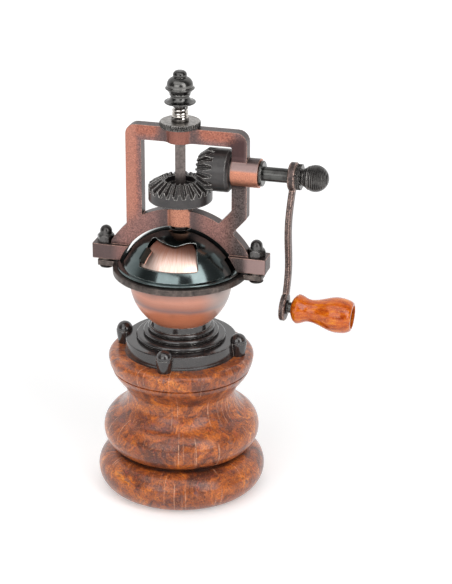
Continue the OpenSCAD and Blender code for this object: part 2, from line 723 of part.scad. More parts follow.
// Turned handle grip with a front bead, a slim waist and a full belly
module handle_grip() color(varnish) slanted() translate([grip_x, 0, -arm_l]) rotate([0, 90, 0]) difference() {
    belly = grip_l * 0.76;
    rim = grip_r - 2.3;
    rotate_extrude() polygon(concat(
        [[0, 0], [3.5, 0], [5, 0.7], [6, 1.6]],
        [for (p = concat(ease([2.7, 6.65], [8.2, 5.05]), ease([8.2, 5.05], [belly, grip_r], 14))) [p.y, p.x]],
        [for (a = [10:10:90]) [rim + (grip_r - rim) * cos(a), belly + (grip_l - belly) * sin(a)]],
        [[0, grip_l]]));
    translate([0, 0, -1]) cylinder(r = pin_r + run_gap, h = grip_l + 2);
    translate([0, 0, grip_l - grip_recess]) cylinder(r = grip_recess_r, h = grip_recess + 1);
}

// Knurled adjusting nut on the thread above the bar
module adjusting_nut() color(black) translate([0, 0, nut_z]) difference() {
    intersection() {
        linear_extrude(adjust_t) knurl(adjust_r, 0.5, 48);
        lathe([[0, 0], [adjust_r - 0.4, 0], [adjust_r + 0.1, 0.5], [adjust_r + 0.1, adjust_t - 0.5],
            [adjust_r - 0.4, adjust_t], [0, adjust_t]]);
    }
    translate([0, 0, -1]) cylinder(r = thread_r + run_gap, h = adjust_t + 2);
}

// Cup washer that seats the spring
module spring_cup() color(steel) translate([0, 0, cup_z]) difference() {
    lathe([[0, 0], [cup_r - 0.3, 0], [cup_r, 0.3], [cup_r, cup_h], [0, cup_h]]);
    translate([0, 0, -1]) cylinder(r = thread_r + run_gap, h = cup_h + 2);
    translate([0, 0, cup_h - 0.4]) tube(spring_r + 0.05, spring_r - wire_d - 0.1, 1);
}

// Coil spring: close turns below and one open turn up to the finial
module tension_spring() color(steel) {
    close = 2;
    open = 1.25;
    per_turn = 20;
    wire = wire_d / 2;
    coil_r = spring_r - wire;
    pitch = wire_d * 1.02;
    open_pitch = (spring_l - wire_d - close * pitch) / open;
    skin([for (i = [0:(close + open) * per_turn])
        let (t = i / per_turn, a = 360 * t - 60, rise = t < close ? t * pitch : close * pitch + (t - close) * open_pitch)
        [for (k = [0:7]) let (q = 45 * k, r = coil_r + wire * cos(q))
            [r * cos(a), r * sin(a), spring_z + wire + 0.02 + rise + wire * sin(q)]]]);
}

// Finial: grooved collar, flared flange, waist with a small ring, rim, bell and a button on top
module finial_knob() color(black) translate([0, 0, finial_z]) difference() {
    button = 1.9;
    lathe(concat(
        [[0, 0], [3, 0], [3.3, 0.5], [3, 1], [3.6, 1.2]],
        ease([3.6, 1.2], [finial_r - 0.3, 1.9]),
        arc(finial_r - 0.35, 2.25, 0.35, -90, 90, 6),
        arc(finial_r - 0.35, 5.1, 2.5, 270, 192, 10),
        [[4.2, 5.2], [4.6, 5.5], [4.6, 6], [4.4, 6.2]],
        ease([4.4, 6.2], [6.1, 8.1], 6),
        arc(finial_r - 0.85, 8.5, 0.4, -60, 90, 6),
        arc(2.25, 9.9, 3.55, -8, 68, 12),
        arc(3.1 - button, finial_h - button, button, -30, 90, 12),
        [[0, finial_h]]));
    translate([0, 0, -1]) cylinder(r = thread_r + run_gap, h = rod_in + 1.1);
}

// Outer burr: a flanged ring with a toothed conical mouth, seated in the recess of the base
module outer_burr() color(steel) difference() {
    union() {
        translate([0, 0, burr_bottom]) cylinder(r = recess_r - 0.2, h = burr_flange_t);
        translate([0, 0, burr_bottom]) cylinder(r = bore_r - 0.2, h = burr_top - burr_bottom);
    }
    translate([0, 0, burr_bottom - 0.01]) cylinder(r1 = burr_exit_r, r2 = burr_entry_r, h = burr_top - burr_bottom + 0.02);
    for (i = [0:burr_teeth - 1]) rotate(360 * i / burr_teeth) translate([burr_exit_r - 0.2, 0, burr_bottom - 1])
        rotate([18, 0, 0]) translate([0, -0.8, 0]) cube([1.6, 1.6, 30]);
    both_bridge_screws() translate([0, 0, burr_bottom - 1]) cylinder(r = screw_r + 0.15, h = 9);
}

// Inner burr: a ribbed cone on the square shaft
module inner_burr() color(steel) difference() {
    exit_r = burr_exit_r - burr_gap;
    h = burr_h - 1.5;
    translate([0, 0, burr_bottom]) cylinder(r1 = exit_r, r2 = 5.4, h = h);
    for (i = [0:burr_teeth - 1]) rotate(360 * i / burr_teeth) translate([exit_r - 1, 0, burr_bottom - 1])
        rotate([-24, -13, 0]) translate([0, -0.6, 0]) cube([3, 1.2, 30]);
    square_hole(burr_bottom - 1, h + 2);
}

// Bridge bar under the burrs with the lower journal and two feet screwed up into the base
module burr_bridge() color(bronze) difference() {
    len = 2 * (bridge_x + 3);
    union() {
        translate([-len / 2, -bridge_w / 2, bridge_top - bridge_t]) cube([len, bridge_w, bridge_t]);
        translate([0, 0, bridge_top - bridge_t]) cylinder(r = journal_r + 2.2, h = bridge_t + 0.8);
        both_bridge_screws() translate([0, 0, bridge_top - 1]) cylinder(r = bridge_w / 2 - 0.4, h = burr_bottom - bridge_top + 1);
    }
    translate([0, 0, 0]) cylinder(r = journal_r + run_gap, h = 20);
    both_bridge_screws() cylinder(r = screw_r + 0.15, h = 20);
}

module bridge_screws() color(steel) both_bridge_screws() {
    head_z = bridge_top - bridge_t;
    translate([0, 0, head_z - 0.5]) cylinder(r = screw_r, h = recess_h + 6.5 - head_z);
    translate([0, 0, head_z]) rotate([180, 0, 0]) lathe(concat([[0, 0]], arc(1.6, 0.8, 1, -50, 90, 6), [[0, 1.8]]));
}

// Nut with a round washer face on the lower end of the shaft
module shaft_nut() color(steel) translate([0, 0, shaft_bottom + 0.4]) difference() {
    top = bridge_top - bridge_t - 0.45 - shaft_bottom - 0.4;
    union() {
        cylinder(r = 4, h = top - 0.4, $fn = 6);
        cylinder(r = 3.6, h = top);
    }
    translate([0, 0, -1]) cylinder(r = journal_r + 0.02, h = top + 2);
}

wood_base();
base_flange();
flange_screws();
hopper_bowl();
clamp_ring();
hopper_dome();
door_pivot();
hopper_door();
yoke_frame();
ear_bolts();
acorn_nuts();
rotate(shaft_turn) drive_shaft();
crown_gear();
adjusting_nut();
spring_cup();
tension_spring();
finial_knob();
pinion_gear();
crank_axle();
thrust_washer();
axle_collar();
crank_arm();
ball_nut();
handle_pin();
handle_grip();
outer_burr();
rotate(shaft_turn) inner_burr();
burr_bridge();
bridge_screws();
shaft_nut();
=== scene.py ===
from math import cos, pi, radians, sin

import bpy
from mathutils import Matrix, Vector


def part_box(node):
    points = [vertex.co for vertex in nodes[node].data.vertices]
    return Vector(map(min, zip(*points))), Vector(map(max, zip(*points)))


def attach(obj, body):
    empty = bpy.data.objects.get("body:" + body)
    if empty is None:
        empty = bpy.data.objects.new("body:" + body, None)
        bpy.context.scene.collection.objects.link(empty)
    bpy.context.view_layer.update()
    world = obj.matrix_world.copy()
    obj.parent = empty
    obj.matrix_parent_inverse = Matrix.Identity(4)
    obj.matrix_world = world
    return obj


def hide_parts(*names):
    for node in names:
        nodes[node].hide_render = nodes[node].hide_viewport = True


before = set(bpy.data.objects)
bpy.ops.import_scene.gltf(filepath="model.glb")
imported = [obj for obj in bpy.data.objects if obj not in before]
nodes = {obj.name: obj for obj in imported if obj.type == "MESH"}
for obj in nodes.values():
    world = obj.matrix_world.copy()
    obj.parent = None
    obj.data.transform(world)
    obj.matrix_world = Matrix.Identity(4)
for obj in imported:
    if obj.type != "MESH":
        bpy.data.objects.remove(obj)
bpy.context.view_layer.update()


# ---------------------------------------------------------------- Studio
# A pale table under three soft lamps: a wide one on the left, a broad one above and a narrow, brighter
# one on the right. The room is white behind the mill and dim behind the camera, which stands right of
# the front and looks down.

AIM = Vector((0, 0, 0.084))
CAMERA_TURN = radians(16.37)
CAMERA_RISE = radians(23.155)
CAMERA_DISTANCE = 0.9047
CAMERA_YAW = radians(-1.294)
CAMERA_PITCH = radians(0.606)
CAMERA_ROLL = radians(-0.3)
CAMERA_LENS = 122.86
CAMERA_SENSOR = 36

LAMP_DISTANCE = 0.85

ROOM_BEHIND_MILL = 1.0
ROOM_BEHIND_CAMERA = 0.1

TABLE_SIZE = 12
TABLE_PAPER = (0.82, 0.82, 0.82, 1)
WHITE = (1, 1, 1, 1)

GLOW_START = 0.12
GLOW_END = 0.8
GLOW_NEAR = 0.34
GLOW_FAR = 0.75


def add(tree, kind, ins=(), out=0, **settings):
    """Adds a shader node, sets or links its inputs, and returns one of its outputs."""
    made = tree.nodes.new("ShaderNode" + kind)
    for name, value in settings.items():
        setattr(made, name, value)
    for key, value in dict(ins).items():
        if isinstance(value, bpy.types.NodeSocket):
            tree.links.new(value, made.inputs[key])
        else:
            made.inputs[key].default_value = value
    return made.outputs[out]


def calc(tree, operation, *terms, clamp=False):
    """Arithmetic on values."""
    return add(tree, "Math", dict(enumerate(terms)), operation=operation, use_clamp=clamp)


def fade(tree, value, low, high):
    """0 below low, 1 above high, smooth between them; low may be the larger one."""
    start, end = (low, high) if low < high else (high, low)
    span = (0, 1) if low < high else (1, 0)
    return add(tree, "MapRange", {"Value": value, "From Min": start, "From Max": end,
                                  "To Min": span[0], "To Max": span[1]}, interpolation_type="SMOOTHSTEP")


def new_material(name):
    """An empty material, its node tree and its surface socket."""
    material = bpy.data.materials.new(name)
    material.use_nodes = True
    tree = material.node_tree
    tree.nodes.clear()
    output = tree.nodes.new("ShaderNodeOutputMaterial")
    return material, tree, output.inputs["Surface"]


def towards(turn, rise):
    """The direction at an angle right of the front and an angle above the table."""
    return Vector((sin(turn) * cos(rise), -cos(turn) * cos(rise), sin(rise)))


def place_camera():
    """Looks at the mill, turned a little off it by the yaw, the pitch and the roll."""
    back = towards(CAMERA_TURN, CAMERA_RISE)
    lens = bpy.data.cameras.new("camera")
    lens.lens = CAMERA_LENS
    lens.sensor_fit = "VERTICAL"
    lens.sensor_height = CAMERA_SENSOR
    camera = bpy.data.objects.new("camera", lens)
    bpy.context.scene.collection.objects.link(camera)
    look = back.to_track_quat("Z", "Y").to_matrix()
    own = Matrix.Rotation(CAMERA_YAW, 3, "Y") @ Matrix.Rotation(CAMERA_PITCH, 3, "X")
    look = look @ own @ Matrix.Rotation(CAMERA_ROLL, 3, "Z")
    camera.matrix_world = Matrix.Translation(AIM + back * CAMERA_DISTANCE) @ look.to_4x4()
    bpy.context.scene.camera = camera


def place_lamp(name, turn, rise, width, height, level):
    """A soft lamp facing the mill, with its angles in degrees and its sides in metres; level is the
    light it gives off, where 1 is white."""
    lamp = bpy.data.lights.new(name, "AREA")
    lamp.shape = "RECTANGLE"
    lamp.size = width
    lamp.size_y = height
    lamp.energy = level * pi * width * height
    away = towards(radians(turn), radians(rise))
    holder = bpy.data.objects.new(name, lamp)
    bpy.context.scene.collection.objects.link(holder)
    turned_in = away.to_track_quat("Z", "Y").to_matrix().to_4x4()
    holder.matrix_world = Matrix.Translation(AIM + away * LAMP_DISTANCE) @ turned_in


def paint_room():
    """White for the camera; for light and reflections, white behind the mill and dim behind the camera."""
    world = bpy.data.worlds.new("room")
    world.use_nodes = True
    bpy.context.scene.world = world
    tree = world.node_tree
    tree.nodes.clear()
    direction = add(tree, "TexCoord", out="Generated")
    behind = add(tree, "VectorMath", {0: direction, 1: (-sin(CAMERA_TURN), cos(CAMERA_TURN), 0)},
                 out="Value", operation="DOT_PRODUCT")
    glow = calc(tree, "MULTIPLY_ADD", fade(tree, behind, -0.15, 0.5),
                ROOM_BEHIND_MILL - ROOM_BEHIND_CAMERA, ROOM_BEHIND_CAMERA)
    seen = add(tree, "LightPath", out="Is Camera Ray")
    level = add(tree, "Mix", {0: seen, 2: glow, 3: 1.0}, data_type="FLOAT")
    shine = add(tree, "Background", {"Color": WHITE, "Strength": level})
    output = tree.nodes.new("ShaderNodeOutputWorld")
    tree.links.new(shine, output.inputs["Surface"])


def lay_table():
    """White paper that keeps the mill's shadow. What the camera and reflections see of it also glows,
    more with distance from the mill; the glow is no lamp."""
    bpy.ops.object.select_all(action="DESELECT")
    bpy.ops.mesh.primitive_plane_add(size=TABLE_SIZE)
    table = bpy.context.object
    table.name = "table"
    material, tree, surface = new_material("table_white")
    path = tree.nodes.new("ShaderNodeLightPath")
    seen = calc(tree, "ADD", path.outputs["Is Camera Ray"], path.outputs["Is Glossy Ray"], clamp=True)
    reach = add(tree, "VectorMath", {0: add(tree, "TexCoord", out="Object")},
                out="Value", operation="LENGTH")
    glow = calc(tree, "MULTIPLY_ADD", fade(tree, reach, GLOW_START, GLOW_END),
                GLOW_FAR - GLOW_NEAR, GLOW_NEAR)
    paper = add(tree, "BsdfDiffuse", {"Color": TABLE_PAPER})
    lift = add(tree, "Emission", {"Color": WHITE, "Strength": calc(tree, "MULTIPLY", seen, glow)})
    tree.links.new(add(tree, "AddShader", {0: paper, 1: lift}), surface)
    material.cycles.emission_sampling = "NONE"
    table.data.materials.append(material)


bpy.context.scene.view_settings.view_transform = "Standard"
place_camera()
place_lamp("left_lamp", turn=-11, rise=22, width=0.62, height=0.5, level=2.4)
place_lamp("top_lamp", turn=-6, rise=62, width=1.1, height=0.6, level=1.6)
place_lamp("right_lamp", turn=54, rise=28, width=0.38, height=0.75, level=3.4)
paint_room()
lay_table()


# ---------------------------------------------------------------- Wooden base
# The base is turned from one block of reddish burl, bored through for the burrs. It is oiled and
# buffed to a satin gloss, so dark knots, fine pores and pale rays show through the finish.


def tint(red, green, blue):
    """A colour given in display values from 0 to 255, as the shaders want it."""
    shares = [c / 255 for c in (red, green, blue)]
    return [s / 12.92 if s < 0.04045 else ((s + 0.055) / 1.055) ** 2.4 for s in shares] + [1]


# Sizes in millimetres; R is a distance from the axis, and Z a height above the table.
FOOT_BEAD = 9.2
BULB_R = 26.2
BULB_Z = 28.8
BULB_BEAD = 9.6
WAIST_R = 34.5
WAIST_Z = 46.0
WAIST_HOLLOW = 9.5
FLARE = [(27.0, 51.6), (28.6, 53.6), (30.2, 55.8), (31.1, 57.3)]
LIP_R = 30.5
LIP_ROUND = 2.6
BORE_R = 13.5
BORE_CHAMFER = 0.5
RECESS_R = 20.3
RECESS_H = 12
RECESS_CHAMFER = 0.4
TURNED_SIDES = 144
GROOVE_Z = 19.2
GROOVE_R = 29.5

BURL_SWIRL = (30, 30, 30)
BURL_TONES = [(0.32, tint(60, 36, 34)), (0.42, tint(120, 64, 40)), (0.5, tint(168, 88, 44)),
              (0.58, tint(206, 112, 46)), (0.7, tint(244, 152, 66))]
BURL_RED = tint(190, 84, 58)
BURL_DUSK = tint(112, 70, 66)
BURL_KNOT = tint(92, 84, 92)
BURL_RAY = tint(230, 168, 132)
BURL_STREAK = tint(84, 46, 38)
BURL_PORE = tint(72, 42, 38)
BURL_GLINT = tint(214, 140, 92)
# Painted shade for the cut between the foot and the bulb.
BURL_GROOVE_PAINTED_SHADE = tint(36, 20, 16)


def blend(tree, share, first, second, how="MIX"):
    """Mix of two colours."""
    return add(tree, "Mix", {0: share, 6: first, 7: second}, out=2, data_type="RGBA", blend_type=how)


def times(tree, *terms):
    """Product of values."""
    product = terms[0]
    for term in terms[1:]:
        product = calc(tree, "MULTIPLY", product, term)
    return product


def stain(tree, colour, mask, share, stained):
    """A colour with another laid over it where a mask is; share is how far it covers there."""
    return blend(tree, times(tree, mask, share), colour, stained)


def ramp(tree, value, stops):
    """Colours along a value, from pairs of place and colour."""
    made = tree.nodes.new("ShaderNodeValToRGB")
    tree.links.new(value, made.inputs["Fac"])
    points = made.color_ramp.elements
    while len(points) < len(stops):
        points.new(0.5)
    for point, (place, colour) in zip(points, stops):
        point.position = place
        point.color = colour
    return made.outputs["Color"]


def in_millimetres(tree, stretch=(1, 1, 1)):
    """The point on the piece in millimetres, stretched along the axes."""
    return add(tree, "Mapping", {"Vector": add(tree, "TexCoord", out="Object"),
                                 "Scale": [1000 * s for s in stretch]}, vector_type="POINT")


def axes(tree):
    """The three coordinates in millimetres."""
    split = add(tree, "SeparateXYZ", {0: in_millimetres(tree)})
    return [split.node.outputs[k] for k in range(3)]


def stretched(tree, point, factors):
    """A point stretched along the axes."""
    return add(tree, "VectorMath", {0: point, 1: factors}, out="Vector", operation="MULTIPLY")


def off(tree, value, place):
    """How far a value is from a place."""
    return calc(tree, "ABSOLUTE", calc(tree, "SUBTRACT", value, place))


def off_axis(tree, first, second):
    """How far the point is from the axis on which both coordinates are nought."""
    return calc(tree, "SQRT", calc(tree, "ADD", times(tree, first, first), times(tree, second, second)))


def around(tree, radius):
    """The point unrolled round the Z axis: arc length at that radius, distance from the axis, height."""
    x, y, z = axes(tree)
    turn = calc(tree, "ARCTAN2", y, x)
    return add(tree, "CombineXYZ", {0: calc(tree, "MULTIPLY", turn, radius), 1: off_axis(tree, x, y), 2: z})


def noise(tree, point, scale, detail=2, rough=0.5, warp=0, out="Fac"):
    """Soft noise; scale is about how many spots there are in a millimetre."""
    return add(tree, "TexNoise", {"Vector": point, "Scale": scale, "Detail": detail, "Roughness": rough,
                                  "Distortion": warp}, out=out)


def bump(tree, height, strength, depth, normal=None):
    """A normal roughened by a height; depth is in millimetres."""
    ins = {"Height": height, "Strength": strength, "Distance": depth / 1000}
    if normal is not None:
        ins["Normal"] = normal
    return add(tree, "Bump", ins)


def size_of(name):
    """The low and high corner of a CAD node, in millimetres."""
    low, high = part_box(name)
    return [1000 * c for c in low], [1000 * c for c in high]


base_corner = size_of("wood_base")[1]
base_r = base_corner[0]
base_top = base_corner[2]


def burl_wood():
    material, tree, surface = new_material("burl_wood")
    point = in_millimetres(tree)
    swirl = add(tree, "VectorMath", {0: noise(tree, point, 0.05, 3, 0.55, out="Color"), 1: BURL_SWIRL,
                                     2: point}, out="Vector", operation="MULTIPLY_ADD")
    colour = ramp(tree, noise(tree, swirl, 0.08, 7, 0.7, 0.6), BURL_TONES)
    red = fade(tree, noise(tree, swirl, 0.3, 3, 0.6), 0.58, 0.68)
    colour = stain(tree, colour, red, 0.45, BURL_RED)
    dusk = fade(tree, noise(tree, point, 0.1, 5, 0.7, 1.0), 0.52, 0.66)
    colour = stain(tree, colour, dusk, 0.6, BURL_DUSK)
    knots = fade(tree, noise(tree, swirl, 0.16, 2, 0.5), 0.66, 0.74)
    colour = stain(tree, colour, knots, 0.6, BURL_KNOT)
    fibre = stretched(tree, around(tree, base_r), (1, 0.02, 0.02))
    rays = fade(tree, noise(tree, fibre, 1.0, 1, 0.5), 0.63, 0.7)
    patches = stretched(tree, around(tree, base_r), (1, 1, 0.55))
    patchy = fade(tree, noise(tree, patches, 0.09, 1), 0.47, 0.56)
    colour = stain(tree, colour, times(tree, rays, patchy), 0.6, BURL_RAY)
    streaks = fade(tree, noise(tree, stretched(tree, swirl, (1, 1, 0.35)), 0.5, 5, 0.75), 0.5, 0.62)
    colour = stain(tree, colour, streaks, 0.55, BURL_STREAK)
    pores = fade(tree, noise(tree, point, 1.15, 3, 0.75), 0.52, 0.62)
    colour = stain(tree, colour, pores, 0.6, BURL_PORE)
    glints = fade(tree, noise(tree, point, 1.3, 2, 0.7), 0.42, 0.34)
    colour = stain(tree, colour, glints, 0.35, BURL_GLINT)
    x, y, z = axes(tree)
    # Painted shade: the cut between the foot and the bulb is darkened where shade falls in it.
    painted_groove_shade = times(tree, fade(tree, off(tree, z, GROOVE_Z), 1.8, 0.4),
                   fade(tree, off_axis(tree, x, y), GROOVE_R + 2, GROOVE_R))
    colour = stain(tree, colour, painted_groove_shade, 0.8, BURL_GROOVE_PAINTED_SHADE)
    polish = calc(tree, "MULTIPLY_ADD", noise(tree, point, 0.5, 3), 0.14, 0.26)
    skin = bump(tree, calc(tree, "SUBTRACT", noise(tree, point, 0.9, 3), pores), 0.35, 0.25)
    wood = add(tree, "BsdfPrincipled", {"Base Color": colour, "Roughness": polish, "Normal": skin,
                                        "Specular IOR Level": 0.25,
                                        "Coat Weight": 0.55, "Coat Roughness": 0.18})
    tree.links.new(wood, surface)
    return material


def arc(centre_r, centre_z, radius, start, end, steps):
    """Points of an arc of the profile, as distance from the axis and height."""
    turns = [radians(start + (end - start) * i / steps) for i in range(steps + 1)]
    return [(centre_r + radius * cos(t), centre_z + radius * sin(t)) for t in turns]


def turned(name, profile, sides):
    """A closed ring turned round the Z axis: one loop of edges is extruded and scaled along the profile."""
    bpy.ops.object.select_all(action="DESELECT")
    bpy.ops.mesh.primitive_circle_add(vertices=sides, radius=profile[0][0] / 1000)
    piece = bpy.context.object
    piece.name = name
    bpy.ops.object.mode_set(mode="EDIT")
    bpy.ops.mesh.select_all(action="SELECT")
    bpy.ops.transform.translate(value=(0, 0, profile[0][1] / 1000))
    for (near_r, near_z), (far_r, far_z) in zip(profile, profile[1:] + profile[:1]):
        rise = (far_z - near_z) / 1000
        growth = far_r / near_r
        bpy.ops.mesh.extrude_region_move(TRANSFORM_OT_translate={"value": (0, 0, rise)})
        bpy.ops.transform.resize(value=(growth, growth, 1), center_override=(0, 0, far_z / 1000))
    bpy.ops.mesh.select_all(action="SELECT")
    bpy.ops.mesh.remove_doubles(threshold=1e-6)
    bpy.ops.mesh.normals_make_consistent(inside=False)
    bpy.ops.object.mode_set(mode="OBJECT")
    bpy.ops.object.shade_smooth_by_angle(angle=radians(32))
    return piece


foot = arc(base_r - FOOT_BEAD, FOOT_BEAD, FOOT_BEAD, -90, 94, 26)
bulb = arc(BULB_R, BULB_Z, BULB_BEAD, -74, 64.2, 26)
waist = arc(WAIST_R, WAIST_Z, WAIST_HOLLOW, 244.2, 155, 22)
lip_groove = [(31.6, base_top - 8.2), (31.0, base_top - 7.9),
              (31.1, base_top - 7.6), (31.9, base_top - 7.4)]
lip = [(32.6, base_top - 5.6)] + arc(LIP_R, base_top - LIP_ROUND, LIP_ROUND, -8, 90, 8)
bore = [(BORE_R + BORE_CHAMFER, base_top), (BORE_R, base_top - BORE_CHAMFER), (BORE_R, RECESS_H)]
recess = [(RECESS_R, RECESS_H), (RECESS_R, RECESS_CHAMFER), (RECESS_R + RECESS_CHAMFER, 0)]
outside = foot + bulb + waist + FLARE + lip_groove + lip
base = turned("turned_base", outside + bore + recess, TURNED_SIDES)
base.data.materials.append(burl_wood())
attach(base, "base")
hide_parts("wood_base")


# ---------------------------------------------------------------- Base flange
# The flange is a die casting in gloss black, screwed down on the base through four lugs. Its edges
# are lighter, partly from rubbing and partly a painted highlight. The lug screws have domed heads in
# the same finish.

CAST_BLACK = tint(34, 30, 30)
CAST_CHARCOAL = tint(50, 45, 44)
CAST_SPECKLE = tint(82, 76, 74)
CAST_EDGE_RUB_AND_SHINE = tint(232, 228, 222)


def worn_and_highlit_edges():
    """Group: a mask of edges lightened by rubbing and as a painted highlight, and the normal rounded there.
    """
    group = bpy.data.node_groups.new("worn_and_highlit_edges", "ShaderNodeTree")
    group.interface.new_socket("Width", in_out="INPUT", socket_type="NodeSocketFloat")
    group.interface.new_socket("Mask", in_out="OUTPUT", socket_type="NodeSocketFloat")
    group.interface.new_socket("Normal", in_out="OUTPUT", socket_type="NodeSocketVector")
    source = group.nodes.new("NodeGroupInput")
    result = group.nodes.new("NodeGroupOutput")
    rounded = add(group, "Bevel", {"Radius": source.outputs["Width"]}, samples=4)
    plain = add(group, "NewGeometry", out="Normal")
    match = add(group, "VectorMath", {0: rounded, 1: plain}, out="Value", operation="DOT_PRODUCT")
    spots = noise(group, in_millimetres(group), 1.4, 3, 0.6)
    mask = times(group, fade(group, match, 0.985, 0.86), fade(group, spots, 0.34, 0.54))
    group.links.new(mask, result.inputs["Mask"])
    group.links.new(rounded, result.inputs["Normal"])
    return group


def cast_grain():
    """Group: the pebbled skin of a casting, as a height, and its blotches and speckle, as masks."""
    group = bpy.data.node_groups.new("cast_grain", "ShaderNodeTree")
    for name in ("Height", "Blotches", "Speckle"):
        group.interface.new_socket(name, in_out="OUTPUT", socket_type="NodeSocketFloat")
    result = group.nodes.new("NodeGroupOutput")
    point = in_millimetres(group)
    height = calc(group, "ADD", noise(group, point, 2.2, 3, 0.6), noise(group, point, 0.6, 2))
    group.links.new(height, result.inputs["Height"])
    group.links.new(noise(group, point, 0.35, 5, 0.65), result.inputs["Blotches"])
    group.links.new(noise(group, point, 2.0, 3, 0.7), result.inputs["Speckle"])
    return group


EDGES = worn_and_highlit_edges()
GRAIN = cast_grain()


def edges(tree, width):
    """The edge mask, for rubbing and a painted highlight, and the rounded normal; width is in millimetres.
    """
    mask = add(tree, "Group", node_tree=EDGES)
    mask.node.inputs["Width"].default_value = width / 1000
    return mask, mask.node.outputs["Normal"]


def grain(tree):
    """The height, the blotches and the speckle of a cast skin."""
    height = add(tree, "Group", node_tree=GRAIN)
    return height, height.node.outputs["Blotches"], height.node.outputs["Speckle"]


def black_casting(name, gloss, edge_wear_and_shine, edge, index):
    """Blackened casting: gloss is its roughness, the edge shine how bright its edges are from rubbing and
    as a painted highlight, edge how wide that is in millimetres, and index its refraction."""
    material, tree, surface = new_material(name)
    worn_and_highlit, rounded = edges(tree, edge)
    height, blotches, speckle = grain(tree)
    colour = blend(tree, fade(tree, blotches, 0.35, 0.7), CAST_BLACK, CAST_CHARCOAL)
    colour = stain(tree, colour, fade(tree, speckle, 0.55, 0.7), 0.35, CAST_SPECKLE)
    # Edges lightened: partly from rubbing, partly a painted highlight.
    colour = stain(tree, colour, worn_and_highlit, edge_wear_and_shine, CAST_EDGE_RUB_AND_SHINE)
    rough = calc(tree, "MULTIPLY_ADD", speckle, 0.1, gloss - 0.05)
    enamel = add(tree, "BsdfPrincipled", {"Base Color": colour, "Roughness": rough, "IOR": index,
                                          "Metallic": times(tree, worn_and_highlit, edge_wear_and_shine, 0.6),
                                          "Normal": bump(tree, height, 0.05, 0.1, rounded)})
    tree.links.new(enamel, surface)
    return material


def dress(material, *names):
    """Gives CAD nodes their finish."""
    for name in names:
        slots = nodes[name].data.materials
        for i in range(len(slots)):
            slots[i] = material


BLACK_FLANGE = black_casting("black_flange", gloss=0.13, edge_wear_and_shine=0.95, edge=0.26, index=1.72)
dress(BLACK_FLANGE, "base_flange", "flange_screws")


# ---------------------------------------------------------------- Burrs
# The burr set hangs under the base: sintered iron cutters, a bronze bridge with the lower bearing,
# and plain steel screws and nut. Coffee oil has darkened them all a little.

METAL_EDGE_RUB_AND_SHINE = tint(225, 220, 215)


def metal(name, light, dark, gloss, spread, scale=0.8, edge_wear_and_shine=0.25, rings=0, sides=1):
    """A plain metal in blotches of two tones, light and dark. Gloss is its roughness and spread how
    uneven that is; scale is how fine the blotches are and the edge shine how bright the edges are, from
    rubbing and as a painted highlight. Rings cuts turning lines across the X axis, that many to a
    millimetre; sides is the brightness of upright faces, darkened as painted shade."""
    material, tree, surface = new_material(name)
    worn_and_highlit, rounded = edges(tree, 0.3)
    point = in_millimetres(tree)
    blotches = noise(tree, point, scale, 5, 0.6)
    colour = blend(tree, fade(tree, blotches, 0.35, 0.65), light, dark)
    # Painted shade: upright faces are darkened by the sides value.
    if sides < 1:
        facing = add(tree, "SeparateXYZ", {0: add(tree, "NewGeometry", out="Normal")})
        upright = fade(tree, calc(tree, "ABSOLUTE", facing.node.outputs["Z"]), 0.8, 0.5)
        shade = calc(tree, "MULTIPLY_ADD", upright, sides - 1, 1.0)
        grey = add(tree, "CombineColor", {0: shade, 1: shade, 2: shade})
        colour = blend(tree, 1.0, colour, grey, "MULTIPLY")
    # Edges lightened: partly from rubbing, partly a painted highlight.
    colour = stain(tree, colour, worn_and_highlit, edge_wear_and_shine, METAL_EDGE_RUB_AND_SHINE)
    rough = calc(tree, "MULTIPLY_ADD", noise(tree, point, 2.5, 3), spread, gloss - spread / 2)
    skin = bump(tree, blotches, 0.06, 0.1, rounded)
    if rings:
        wave = calc(tree, "SINE", calc(tree, "MULTIPLY", axes(tree)[0], 2 * pi * rings))
        skin = bump(tree, wave, 0.9, 0.22, skin)
    body = add(tree, "BsdfPrincipled", {"Base Color": colour, "Metallic": 1.0, "Roughness": rough,
                                        "Normal": skin})
    tree.links.new(body, surface)
    return material


def bronze_casting(name, dark, mid, light, bright, edge_wear_and_shine, edge):
    """A bronzed casting in blotches of three tones; bright is the colour of its edges, the edge shine how
    far they are lightened by rubbing and as a painted highlight, and edge how wide that is in millimetres."""
    material, tree, surface = new_material(name)
    worn_and_highlit, rounded = edges(tree, edge)
    height, blotches, speckle = grain(tree)
    colour = ramp(tree, blotches, [(0.32, dark), (0.52, mid), (0.7, light)])
    colour = stain(tree, colour, fade(tree, speckle, 0.5, 0.66), 0.4, dark)
    # Edges lightened: partly from rubbing, partly a painted highlight.
    colour = stain(tree, colour, worn_and_highlit, edge_wear_and_shine, bright)
    rough = calc(tree, "MULTIPLY_ADD", speckle, 0.24, 0.26)
    body = add(tree, "BsdfPrincipled", {"Base Color": colour, "Metallic": 0.9, "Roughness": rough,
                                        "Normal": bump(tree, height, 0.28, 0.2, rounded)})
    tree.links.new(body, surface)
    return material


BURR_IRON = metal("burr_iron", tint(112, 106, 102), tint(72, 66, 62), gloss=0.55, spread=0.2)
STEEL = metal("steel", tint(168, 162, 158), tint(128, 122, 118), gloss=0.38, spread=0.16)
RING_BRONZE = bronze_casting("ring_bronze", tint(62, 57, 55), tint(90, 82, 78), tint(116, 104, 98),
                             tint(196, 176, 166), edge_wear_and_shine=0.7, edge=0.4)
dress(BURR_IRON, "outer_burr", "inner_burr")
dress(STEEL, "bridge_screws", "shaft_nut")
dress(RING_BRONZE, "burr_bridge")


# ---------------------------------------------------------------- Hopper bowl
# The bowl is spun from copper sheet, brushed to a satin and lacquered, and spinning lines run round
# it. Painted reflections and shade change its colour with height: a painted shadow under the ring, a
# pinker upper half for the reflected table, a redder lower half for the reflected wooden base, and a
# painted grey reflection between them. Its right side is painted pale as a reflection.

